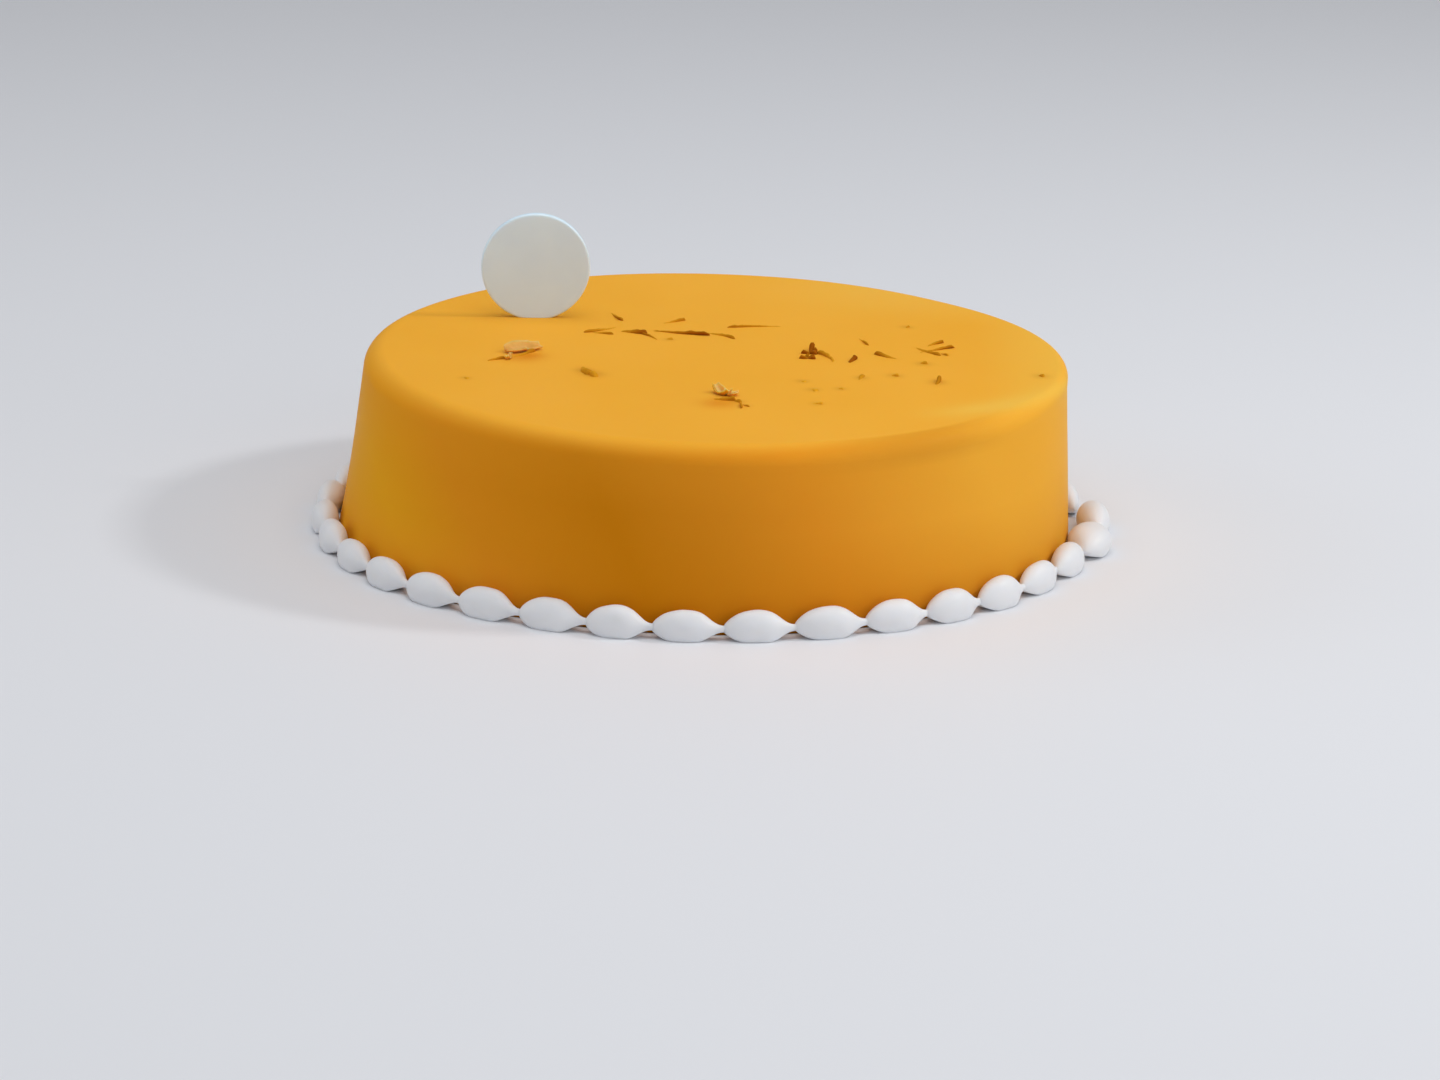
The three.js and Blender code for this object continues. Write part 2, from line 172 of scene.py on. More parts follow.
# Saffron threads and crumbs: x and y of the middle, length, heading from +X in degrees, how far the thread
# turns along its length in degrees, thickness at the swollen far end, how dark it is from 0 (as the glaze)
# to 1, and how far the far end rises off the glaze
Thread = namedtuple("Thread", "x y length heading turn thickness depth rise")
THREADS = [
    Thread(*row)
    for row in (
        (-0.0348, 0.0236, 0.014, 219, -30, 0.00125, 0.44, 0.0004),
        (-0.0344, 0.0185, 0.0075, -10, -12, 0.0013, 0.5, 0.0003),
        (-0.0303, 0.041, 0.0115, -70, 10, 0.0013, 0.5, 0.0004),
        (-0.0244, 0.0205, 0.009, -17, -10, 0.0019, 0.8, 0.0004),
        (-0.019, 0.016, 0.009, 125, 20, 0.0013, 0.6, 0),
        (-0.0119, 0.0365, 0.009, 34, 20, 0.0016, 0.42, 0.0003),
        (-0.0093, 0.022, 0.019, -13, 14, 0.0017, 0.74, 0.0005),
        (0.0027, 0.0198, 0.013, -33, -40, 0.00125, 0.45, 0.0003),
        (-0.0129, 0.0135, 0.003, 6, 0, 0.0014, 0.25, 0),
        (0.0146, 0.0328, 0.0185, 192, 10, 0.0012, 0.42, 0.0003),
        (0.032, 0.0046, 0.0034, 78, 0, 0.003, 0.9, 0.0008),
        (0.0329, 0.0044, 0.0026, -20, 0, 0.0018, 0.75, 0.0006),
        (0.0305, 0.0004, 0.0032, 170, 20, 0.002, 0.8, 0.0004),
        (0.0299, -0.005, 0.0034, 188, -20, 0.0019, 0.66, 0.0002),
        (0.0317, -0.0048, 0.0036, -8, 40, 0.0025, 0.8, 0.0003),
        (0.0322, 0.001, 0.0036, -35, -10, 0.0024, 0.8, 0.0004),
        (0.0308, -0.0024, 0.0034, -85, 0, 0.002, 0.6, 0.0002),
        (0.0361, -0.0038, 0.0128, 113.6, 70, 0.0022, 0.38, 0.0002),
        (0.045, -0.0059, 0.006, 71, 0, 0.0017, 0.92, 0.0002),
        (0.0491, 0.0183, 0.0095, -72, 10, 0.0013, 0.4, 0.0002),
        (0.0557, 0.0006, 0.0092, 142, -12, 0.0018, 0.62, 0.0003),
        (0.069, 0.009, 0.0128, -50, 25, 0.0015, 0.48, 0.0002),
        (0.0718, 0.0106, 0.0145, 35, -14, 0.0015, 0.48, 0.0005),
        (0.0716, 0.018, 0.0085, 49, -16, 0.0017, 0.52, 0.0003),
        (0.0743, 0.0058, 0.004, -50, 0, 0.0012, 0.3, 0),
        (0.0673, -0.0066, 0.003, 7, 0, 0.0022, 0.28, 0),
        (0.0634, 0.0395, 0.0026, 49, 0, 0.0016, 0.3, 0),
        (0.0579, -0.0224, 0.0032, -15, 0, 0.0022, 0.14, 0),
        (0.0473, -0.0264, 0.006, 80, 0, 0.0018, 0.3, 0),
        (0.0709, -0.0285, 0.0064, 74, 10, 0.0025, 0.48, 0.0003),
        (0.1038, -0.0164, 0.0028, -41, 0, 0.0023, 0.24, 0),
        (0.029, -0.0327, 0.0035, -55, 0, 0.0017, 0, 0),
        (0.0323, -0.0423, 0.005, -62, 0, 0.0018, 0.05, 0),
        (0.0407, -0.0402, 0.003, -33, 0, 0.0015, 0, 0),
        (0.0333, -0.0583, 0.004, -7, 0, 0.0016, 0, 0),
        (0.0051, -0.0574, 0.0072, -10, 14, 0.0025, 0.45, 0.0002),
        (0.0087, -0.059, 0.004, -30, -20, 0.0014, 0.4, 0.0002),
        (0.0102, -0.062, 0.0095, -88, 8, 0.0012, 0.42, 0.0005),
        (0.0116, -0.0632, 0.0038, -50, 10, 0.001, 0.28, 0.0002),
        (-0.0384, -0.0282, 0.01, -75, 0, 0.003, 0.38, 0),
        (-0.0356, -0.0322, 0.007, -78, 20, 0.0034, 0.2, 0),
        (-0.058, -0.01, 0.0105, 50, 10, 0.0015, 0.5, 0.0003),
        (-0.0664, -0.0174, 0.0068, 30, 0, 0.0016, 0.55, 0),
        (-0.0746, -0.0405, 0.003, -53, 0, 0.0014, 0.15, 0),
    )
]
THREAD_SIDES = 10
THREAD_STEP = 0.0006
THREAD_SUNK = 0.22
PALE_SUNK = 0.35
THREAD_SLIMMER = 0.9
THREAD_START = 0.55
THREAD_LUMPS = 0.22
THREAD_SWAY = 0.08
THREAD_FLATTER = 0.2
LUMP_SCALE = 700
SWAY_SCALE = 700
THREAD_FADE = 0.5

# A shorter thread is a crumb. Its colour fades less, and a paler one soaks into the glaze.
CRUMB_LENGTH = 0.0065
CRUMB_FADE = 0.12
SOAKING_DEPTH = 0.6
SOAK_MARGIN = 0.0004
SOAK_STRENGTH = 0.4

# Spots of colour in the glaze: x, y, reach and strength. Saffron has bled into it in front of the petals
# and a little round each thread, and two threads on the left lie half sunk in it.
BLED_SPOTS = [
    (-0.0578, -0.014, 0.0055, 0.6),
    (-0.0545, -0.011, 0.0035, 0.4),
    (-0.06, -0.0095, 0.0028, 0.15),
    (0.0035, -0.0615, 0.0055, 0.6),
]
SUNK_SPOTS = [
    (-0.0386, -0.0276, 0.0028, 0.55),
    (-0.0358, -0.0318, 0.0034, 0.55),
]
BLED_REACH = 0.8
BLED_STRENGTH = 0.12
SPOT_REACHES = 3

# Petals: x and y of the middle, length, width, heading, the lift of the ends, how far the left edge stands
# above the right one, and how golden rather than peach-coloured the petal is
Petal = namedtuple("Petal", "x y length width heading lift tilt golden")
PETALS = [
    Petal(-0.0584, -0.006, 0.0125, 0.0049, 31, 0.0004, 0.0016, 0.1),
    Petal(-0.0625, -0.0158, 0.0046, 0.0018, 75, 0.0012, 0, 0.7),
    Petal(0.0044, -0.051, 0.0075, 0.0042, -55, 0.002, 0, 1),
    Petal(0.0069, -0.052, 0.0046, 0.0034, -14, 0.001, 0, 0.2),
]
PETAL_THICKNESS = 0.0005
PETAL_SUNK = 0.0003
PETAL_LENGTH_CELLS = 28
PETAL_WIDTH_CELLS = 12
PETAL_CURL = 0.45
PETAL_TAPER = 0.75
PETAL_END = 0.4
PETAL_ROUND = 0.08
PETAL_CRUMPLE = 0.0003


def smooth_step(value, low, high):
    """A soft step from 0 at the low value to 1 at the high one."""
    share = min(1.0, max(0.0, (value - low) / (high - low)))
    return share * share * (3 - 2 * share)


def window(value, begins, ends):
    """1 between two soft steps, and 0 outside them."""
    return smooth_step(value, *begins) * (1 - smooth_step(value, *ends))


def nearness(angle, middle, spread):
    """How near an angle is to the middle of a stretch of the ring, from 0 outside the stretch to 1."""
    return smooth_step(math.cos(angle - math.radians(middle)), math.cos(math.radians(spread)), 1)


def top_height(x, y):
    """The height of the cake's top at a place on it."""
    outward = math.hypot(x, y) / TOP_RADIUS
    slope = (RISE_TO_BACK * y - RISE_TO_LEFT * x) / TOP_RADIUS
    return CAKE_HEIGHT + slope + CROWN * (1 - outward * outward)


def wall_radius(angle, z):
    """How far the cake's wall stands out at an angle and a height. It wobbles a little round the cake."""
    taper = BASE_RADIUS + (TOP_RADIUS - BASE_RADIUS) * z / CAKE_HEIGHT
    towards_left = smooth_step(-math.cos(angle), -0.1, 1)
    flare = FLARE_OUT * towards_left * math.exp(-z / FLARE_HEIGHT)
    return taper + flare + WOBBLE * math.sin(3 * angle + 0.6) + 0.5 * WOBBLE * math.sin(7 * angle)


def mesh_object(name, points, faces, material, slot, *nodes):
    """A smooth mesh that rides on the cake's one body and stands for the named nodes."""
    mesh = bpy.data.meshes.new(name)
    mesh.from_pydata(points, [], faces)
    mesh.validate()
    mesh.polygons.foreach_set("use_smooth", [True] * len(mesh.polygons))
    mesh.materials.append(material)
    piece = bpy.data.objects.new(name, mesh)
    bpy.context.scene.collection.objects.link(piece)
    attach(piece, "root")
    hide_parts(*nodes)
    return piece


def store(piece, name, values):
    """Keeps a number for each point of a piece, which its material reads by name."""
    piece.data.attributes.new(name, "FLOAT", "POINT").data.foreach_set("value", values)


def ring_pairs(segments, flipped=False):
    """Each point of a ring with the next one, by number, or the next one first where flipped is set."""
    for segment in range(segments):
        after = (segment + 1) % segments
        yield (after, segment) if flipped else (segment, after)


def band_faces(ring_count, segments, start=0, flipped=False):
    """Faces with four sides between rings of points that follow one another."""
    faces = []
    for row in range(start, start + (ring_count - 1) * segments, segments):
        for a, b in ring_pairs(segments, flipped):
            faces.append((row + a, row + b, row + b + segments, row + a + segments))
    return faces


def turned_faces(ring_count, segments, flipped=False):
    """Faces of a closed body of rings, with a fan at each end to the two points that follow the rings."""
    faces = band_faces(ring_count, segments, 0, flipped)
    middle = ring_count * segments
    last = middle - segments
    for a, b in ring_pairs(segments, flipped):
        faces.append((middle, b, a))
        faces.append((middle + 1, last + a, last + b))
    return faces


def loft(loops, start=0):
    """Points and faces that join closed loops of points, with one face across the first and the last."""
    count = len(loops[0])
    points = [point for loop in loops for point in loop]
    faces = band_faces(len(loops), count, start)
    last = start + (len(loops) - 1) * count
    faces.append(tuple(start + side for side in reversed(range(count))))
    faces.append(tuple(last + side for side in range(count)))
    return points, faces


def join_lofts(shapes):
    """The points and faces of several lofts as those of one mesh."""
    points = []
    faces = []
    for loops in shapes:
        more_points, more_faces = loft(loops, len(points))
        points += more_points
        faces += more_faces
    return points, faces


# Materials


class Shader:
    """A material's node tree, with a short way to add and join nodes."""

    def __init__(self, name):
        self.material = bpy.data.materials.new(name)
        self.material.use_nodes = True
        self.tree = self.material.node_tree
        self.surface = self.tree.nodes["Principled BSDF"]

    def add(self, kind, **values):
        node = self.tree.nodes.new(kind)
        for key, value in values.items():
            setattr(node, key, value)
        return node

    def fill(self, socket, value):
        """Joins another node's output to a socket, or sets the socket to a colour, a triple or a number."""
        if isinstance(value, bpy.types.NodeSocket):
            self.tree.links.new(value, socket)
        elif socket.type == "RGBA":
            socket.default_value = (*value, 1)
        else:
            socket.default_value = value

    def place(self):
        return self.add("ShaderNodeTexCoord").outputs["Object"]

    def part(self, axis):
        """The X, Y or Z of a place on the object."""
        parts = self.add("ShaderNodeSeparateXYZ")
        self.fill(parts.inputs["Vector"], self.place())
        return parts.outputs[axis]

    def noise(self, scale, detail=3.0, roughness=0.5):
        node = self.add("ShaderNodeTexNoise")
        self.fill(node.inputs["Scale"], scale)
        self.fill(node.inputs["Detail"], detail)
        self.fill(node.inputs["Roughness"], roughness)
        self.fill(node.inputs["Vector"], self.place())
        return node.outputs["Fac"]

    def ramp(self, value, *stops):
        """The colour at a value, from stops of a position and a colour."""
        node = self.add("ShaderNodeValToRGB")
        elements = node.color_ramp.elements
        while len(elements) < len(stops):
            elements.new(0.5)
        for element, (position, colour) in zip(elements, stops):
            element.position = position
            element.color = (*colour, 1)
        self.fill(node.inputs["Fac"], value)
        return node.outputs["Color"]

    def mix(self, share, first, second):
        """The first colour, with a share of the second in it."""
        node = self.add("ShaderNodeMix", data_type="RGBA")
        self.fill(node.inputs[0], share)
        self.fill(node.inputs[6], first)
        self.fill(node.inputs[7], second)
        return node.outputs[2]

    def spread(self, value, low, high, to_low=0.0, to_high=1.0):
        """A value between low and high, mapped evenly to between to_low and to_high and kept there."""
        node = self.add("ShaderNodeMapRange")
        self.fill(node.inputs["From Min"], low)
        self.fill(node.inputs["From Max"], high)
        self.fill(node.inputs["To Min"], to_low)
        self.fill(node.inputs["To Max"], to_high)
        self.fill(node.inputs["Value"], value)
        return node.outputs["Result"]

    def combine(self, operation, first, second):
        node = self.add("ShaderNodeMath", operation=operation)
        self.fill(node.inputs[0], first)
        self.fill(node.inputs[1], second)
        return node.outputs["Value"]

    def attribute(self, name):
        """A number that store keeps for each point."""
        return self.add("ShaderNodeAttribute", attribute_name=name).outputs["Fac"]

    def bump(self, height, distance, strength):
        node = self.add("ShaderNodeBump")
        self.fill(node.inputs["Distance"], distance)
        self.fill(node.inputs["Strength"], strength)
        self.fill(node.inputs["Height"], height)
        return node.outputs["Normal"]

    def set(self, **values):
        """Fills the surface's own sockets by name, with an underscore for each space."""
        for key, value in values.items():
            self.fill(self.surface.inputs[key.replace("_", " ")], value)


def top_colour(shader, broad, across):
    """The glaze on the top, with painted light: paler along the right-hand rim and at the back right."""
    plain = shader.ramp(broad, (0.3, (0.85, 0.39, 0.033)), (0.7, (0.88, 0.412, 0.04)))
    with_rim = shader.mix(shader.spread(across, 0.085, 0.11), plain, (0.86, 0.455, 0.054))
    behind = shader.spread(shader.part("Y"), 0.045, 0.085)
    behind_right = shader.combine("MULTIPLY", behind, shader.spread(across, 0.01, 0.05))
    return shader.mix(behind_right, with_rim, (0.86, 0.445, 0.055))


def wall_colour(shader, broad, across, height):
    """The glaze on the wall, in painted shade and light: darkest left of its middle and yellower to the
    sides.

    The darkest painted shade slants: it lies further to the left below the top's edge than at the foot.
    Painted light makes the wall paler under the edge and at the foot on the left, and painted shade makes it
    redder along the foot towards the right, with a painted shadow along the very foot.
    """
    # Painted shade round the wall, darkest left of the middle, and painted light, yellower, to the sides
    slanted = shader.combine("ADD", across, shader.spread(height, 0, 0.06, -0.015, 0.015))
    plain = shader.ramp(
        shader.spread(slanted, -0.11, 0.11),
        (0.04, (0.84, 0.375, 0.011)),
        (0.17, (0.77, 0.283, 0.012)),
        (0.38, (0.64, 0.22, 0.005)),
        (0.66, (0.82, 0.305, 0.02)),
        (0.91, (0.905, 0.43, 0.042)),
    )
    cloudy = shader.mix(shader.spread(broad, 0.3, 0.7, 0, 0.1), plain, (0.60, 0.20, 0.004))
    # Painted light under the edge and low on the left, and painted shade along the foot towards the right
    places = (
        (shader.spread(height, 0.036, 0.054, 0, 0.3), shader.spread(across, 0.03, 0.08, 1, 0)),
        (shader.spread(height, 0.004, 0.022, 0.35, 0), shader.spread(across, -0.07, -0.04, 1, 0)),
        (shader.spread(height, 0.005, 0.03, 1, 0), shader.spread(across, -0.09, 0.03, 0.08, 0.42)),
    )
    under_edge, low_left, foot = [shader.combine("MULTIPLY", up, along) for up, along in places]
    paler = shader.mix(under_edge, cloudy, (0.90, 0.36, 0.022))
    warmer = shader.mix(low_left, paler, (0.98, 0.34, 0.03))
    redder = shader.mix(foot, warmer, (0.62, 0.20, 0.003))
    # A painted shadow: a dark line along the very foot, where shade falls in the gaps under the beads' tails
    painted_foot_shadow = shader.spread(height, 0.0015, 0.004, 0.7, 0)
    return shader.mix(painted_foot_shadow, redder, (0.2, 0.075, 0.004))


def glaze_material():
    """Satin saffron glaze with painted shade and light, a band of painted shade and a painted highlight over
    the top's edge, and spots where saffron has coloured it.
    """
    shader = Shader("saffron_glaze")
    broad = shader.noise(14, 2)
    fine = shader.noise(40, 1)
    across = shader.part("X")
    height = shader.part("Z")
    wall = wall_colour(shader, broad, across, height)
    colour = shader.mix(shader.attribute("over"), wall, top_colour(shader, broad, across))
    # The band darkening the right of the front over the edge is painted shade, and the pale band on the right
    # is a painted highlight; stain and soak are saffron in the glaze
    for name, tint in (
        ("painted_edge_shade", (0.60, 0.24, 0.018)),
        ("painted_highlight", (0.87, 0.492, 0.067)),
        ("stain", (0.68, 0.2, 0.006)),
        ("soak", (0.52, 0.215, 0.012)),
    ):
        colour = shader.mix(shader.attribute(name), colour, tint)
    shader.set(Base_Color=colour, Roughness=shader.spread(fine, 0.3, 0.7, 0.34, 0.40))
    shader.set(Subsurface_Weight=0.15, Subsurface_Radius=(1.0, 0.45, 0.12), Subsurface_Scale=0.002)
    shader.set(Specular_IOR_Level=0.005, Normal=shader.bump(broad, 0.0003, 0.25))
    return shader.material


def cream_material():
    """Whipped white cream with a soft sheen."""
    shader = Shader("piped_cream")
    broad = shader.noise(60, 2)
    fine = shader.noise(900, 3, 0.6)
    shader.set(Base_Color=shader.ramp(broad, (0.3, (0.79, 0.80, 0.82)), (0.7, (0.82, 0.83, 0.85))))
    shader.set(Roughness=shader.spread(fine, 0.3, 0.7, 0.4, 0.52), Specular_IOR_Level=0.35)
    shader.set(Subsurface_Weight=0.3, Subsurface_Radius=(1.0, 0.85, 0.7), Subsurface_Scale=0.0015)
    shader.set(Normal=shader.bump(fine, 0.00005, 0.4))
    return shader.material


def thread_material():
    """Dried saffron, from the glaze's colour where it is faint to a dark red-brown, with fine streaks."""
    shader = Shader("saffron_thread")
    streaks = shader.noise(1500, 3)
    core = shader.ramp(
        shader.attribute("depth"),
        (0.0, (0.82, 0.39, 0.022)),
        (0.3, (0.63, 0.27, 0.01)),
        (0.55, (0.46, 0.17, 0.005)),
        (0.8, (0.33, 0.085, 0.003)),
        (1.0, (0.24, 0.04, 0.002)),
    )
    streaked = shader.mix(shader.spread(streaks, 0.45, 0.65, 0, 0.3), core, (0.42, 0.17, 0.006))
    shader.set(Base_Color=streaked)
    shader.set(Roughness=0.65, Specular_IOR_Level=0.01)
    shader.set(Normal=shader.bump(streaks, 0.0001, 0.6))
    return shader.material


def petal_material():
    """Dried petals, peach with a paler side or golden with a pale middle."""
    shader = Shader("dried_petal")
    veins = shader.noise(380, 4)
    across = shader.attribute("across")
    peach = shader.ramp(veins, (0.35, (0.66, 0.28, 0.045)), (0.65, (0.84, 0.39, 0.10)))
    pale = shader.mix(shader.spread(across, 0.5, 0.95, 0, 0.5), peach, (0.84, 0.48, 0.15))
    gold = shader.ramp(
        across,
        (0.25, (0.50, 0.26, 0.022)),
        (0.4, (0.84, 0.50, 0.14)),
        (0.55, (0.78, 0.44, 0.15)),
        (0.75, (0.66, 0.34, 0.055)),
    )
    shader.set(Base_Color=shader.mix(shader.attribute("golden"), pale, gold))
    shader.set(Roughness=0.6, Specular_IOR_Level=0.1)
    shader.set(Subsurface_Weight=0.8, Subsurface_Radius=(1.0, 0.5, 0.2), Subsurface_Scale=0.003)
    shader.set(Normal=shader.bump(veins, 0.0001, 0.5))
    return shader.material


def plaque_material():
    """Plain white plaque with a satin face, tinted a little blue: painted cool light against the warm light
    the glaze throws onto it.
    """
    shader = Shader("blank_plaque")
    broad = shader.noise(80, 2)
    fine = shader.noise(600, 3)
    shader.set(Base_Color=shader.ramp(broad, (0.3, (0.69, 0.85, 0.98)), (0.7, (0.72, 0.88, 1.0))))
    shader.set(Roughness=shader.spread(fine, 0.3, 0.7, 0.35, 0.45))
    shader.set(Subsurface_Weight=0.2, Subsurface_Radius=(1.0, 0.9, 0.8), Subsurface_Scale=0.0015)
    shader.set(Normal=shader.bump(fine, 0.00004, 0.4))
    return shader.material


def floor_material():
    shader = Shader("pale_floor")
    shader.set(Base_Color=(0.78, 0.79, 0.82), Roughness=0.6, Specular_IOR_Level=0.3)
    return shader.material


# The glazed body


def body_outline():
    """Plain radius and height of each ring, from the base's rim up the wall and over the edge."""
    rings = [
        (BASE_RADIUS - BASE_EDGE, 0.0),
        (BASE_RADIUS - 0.3 * BASE_EDGE, 0.3 * BASE_EDGE),
        (BASE_RADIUS, BASE_EDGE),
    ]
    for ring in range(1, WALL_RINGS):
        share = ring / WALL_RINGS
        rings.append((BASE_RADIUS, BASE_EDGE + (ARC_HEIGHT - BASE_EDGE) * share**WALL_CROWDING))
    for ring in range(EDGE_RINGS + 1):
        turn = math.pi / 2 * ring / EDGE_RINGS
        out = TOP_EDGE_RADIUS * math.cos(turn)
        rings.append((ARC_RADIUS + out, ARC_HEIGHT + TOP_EDGE_RADIUS * math.sin(turn)))
    for ring in range(TOP_RINGS - 1, 0, -1):
        rings.append((ARC_RADIUS * ring / TOP_RINGS, CAKE_HEIGHT))
    return rings


def on_wall(z):
    """Whether a height of the plain outline is below the rounded edge."""
    return z < ARC_HEIGHT - 1e-5


def sharpen_edge(radius, z, share):
    """Draws a point of the outline out, so that the rounded edge keeps only a share of its radius."""
    if on_wall(z):
        return radius, z * (CAKE_HEIGHT - share * TOP_EDGE_RADIUS) / ARC_HEIGHT
    drawn_height = CAKE_HEIGHT - share * (CAKE_HEIGHT - z)
    if radius > ARC_RADIUS:
        return TOP_RADIUS - share * (TOP_RADIUS - radius), drawn_height
    return radius * (TOP_RADIUS - share * TOP_EDGE_RADIUS) / ARC_RADIUS, drawn_height


def ripple(point, coarse, fine):
    """Soft noise at two scales."""
    return noise.noise(point * coarse) + 0.5 * noise.noise(point * fine)


def shape_body(plain_radius, plain_z, angle):
    """Moves a point of the plain outline to the taper, the flare at the foot and the sloping top."""
    share = 1 - SHARPER_BY * nearness(angle, SHARP_SIDE, SHARP_SPREAD)
    radius, z = sharpen_edge(plain_radius, plain_z, share)
    widest = BASE_RADIUS if on_wall(plain_z) else TOP_RADIUS
    new_radius = radius * wall_radius(angle, min(z, ARC_HEIGHT)) / widest
    upright = z / CAKE_HEIGHT
    x = new_radius * math.cos(angle) + TOP_SHIFT * upright
    y = new_radius * math.sin(angle)
    raised = (top_height(x, y) - CAKE_HEIGHT) * smooth_step(upright, RISE_FROM, 1)
    point = Vector((x, y, z + raised))
    if on_wall(plain_z):
        shown = window(z, WALL_RIPPLE_BEGINS, WALL_RIPPLE_ENDS)
        out = WALL_RIPPLE * shown * ripple(point, *WALL_RIPPLE_SCALES)
        point += Vector((math.cos(angle), math.sin(angle), 0)) * out
    else:
        point.z += TOP_RIPPLE * ripple(point, *TOP_RIPPLE_SCALES)
    return point


def edge_turn(z):
    """How far over the rounded edge a height of the plain outline is, in degrees from the wall."""
    return math.degrees(math.asin(min(1.0, max(0.0, (z - ARC_HEIGHT) / TOP_EDGE_RADIUS))))


def side_of(angle):
    """An angle as a side, in degrees from -180 to 180."""
    return math.degrees(math.atan2(math.sin(angle), math.cos(angle)))


def over_share(angle, z):
    """How far the wall's colour, with its painted shade and light, has turned into the top's: early at the
    left, late at the right.
    """
    late = smooth_step(math.cos(angle - math.radians(LATE_SIDE)), 0.2, 1)
    begins = OVER_BEGINS + BEGINS_LATER_BY * late
    ends = OVER_ENDS + ENDS_LATER_BY * late
    return smooth_step(edge_turn(z), begins, ends)


def edge_shade_share(angle, z):
    """How strongly painted shade darkens the top's edge, at the right of the front."""
    shown = window(side_of(angle), EDGE_SHADE_BEGINS, EDGE_SHADE_ENDS)
    above = smooth_step(z, ARC_HEIGHT - EDGE_SHADE_BELOW, ARC_HEIGHT + TOP_EDGE_RADIUS / 2)
    return EDGE_SHADE_STRENGTH * shown * above * (1 - smooth_step(edge_turn(z), *EDGE_SHADE_OVER))


def painted_highlight_share(angle, radius, z):
    """How much the painted highlight pales the glaze in the soft band on the right."""
    side = side_of(angle)
    inward = TOP_RADIUS - min(radius, TOP_RADIUS) - (CAKE_HEIGHT - z)
    middle = GLEAM_INWARD - GLEAM_SLANT * (side - GLEAM_SIDE)
    shown = window(side, GLEAM_BEGINS, GLEAM_ENDS)
    return GLEAM_STRENGTH * shown * math.exp(-(((inward - middle) / GLEAM_WIDTH) ** 2))


def thread_centres(thread):
    """Points along a thread on the cake's top, in steps of about THREAD_STEP."""
    steps = max(4, round(thread.length / THREAD_STEP))
    place = Vector((0, 0))
    places = []
    for step in range(steps + 1):
        places.append(place.copy())
        heading = math.radians(thread.heading + thread.turn * ((step + 0.5) / steps - 0.5))
        place += Vector((math.cos(heading), math.sin(heading))) * thread.length / steps
    middle = (places[0] + places[-1]) / 2
    return [Vector((thread.x, thread.y)) + place - middle for place in places]


def stain_spots():
    """Where saffron has bled into the glaze: a little round threads, and more in front of the petals."""
    spots = []
    for thread in THREADS:
        for place in thread_centres(thread)[::3]:
            spots.append((place.x, place.y, BLED_REACH * thread.thickness, BLED_STRENGTH * thread.depth))
    return spots + BLED_SPOTS


def soak_spots():
    """Where saffron lies half sunk in the glaze and shows through it softly."""
    spots = []
    for thread in THREADS:
        if thread.length < CRUMB_LENGTH and thread.depth < SOAKING_DEPTH:
            spots.append((thread.x, thread.y, thread.thickness + SOAK_MARGIN, SOAK_STRENGTH))
    return spots + SUNK_SPOTS


def spot_share(x, y, spots):
    """How strongly soft spots colour the glaze at a place, from 0 to 1."""
    total = 0.0
    for spot_x, spot_y, reach, strength in spots:
        distance = math.hypot(x - spot_x, y - spot_y) / reach
        if distance < SPOT_REACHES:
            total += strength * math.exp(-distance * distance)
    return min(1.0, total)


def make_body(material):
    """The glazed body, with the shares of its bands of painted shade and light and of its saffron spots at
    each point.
    """
    rings = body_outline()
    points = []
    over = []
    painted_edge_shade = []
    painted_highlight = []
    for radius, z in rings:
        for segment in range(BODY_SEGMENTS):
            angle = 2 * math.pi * segment / BODY_SEGMENTS
            points.append(shape_body(radius, z, angle))
            over.append(over_share(angle, z))
            painted_edge_shade.append(edge_shade_share(angle, z))
            painted_highlight.append(painted_highlight_share(angle, radius, z))
    points += [Vector((0, 0, 0)), shape_body(0, CAKE_HEIGHT, 0)]
    faces = turned_faces(len(rings), BODY_SEGMENTS)
    piece = mesh_object("glazed_body", points, faces, material, "glaze", "cake")
    store(piece, "over", over + [0.0, 1.0])
    store(piece, "painted_edge_shade", painted_edge_shade + [0.0, 0.0])
    store(piece, "painted_highlight", painted_highlight + [0.0, 0.0])
    for name, spots in (("stain", stain_spots()), ("soak", soak_spots())):
        shares = [spot_share(point.x, point.y, spots) if point.z > ARC_HEIGHT else 0.0 for point in points]
        store(piece, name, shares)


# Saffron threads and petals


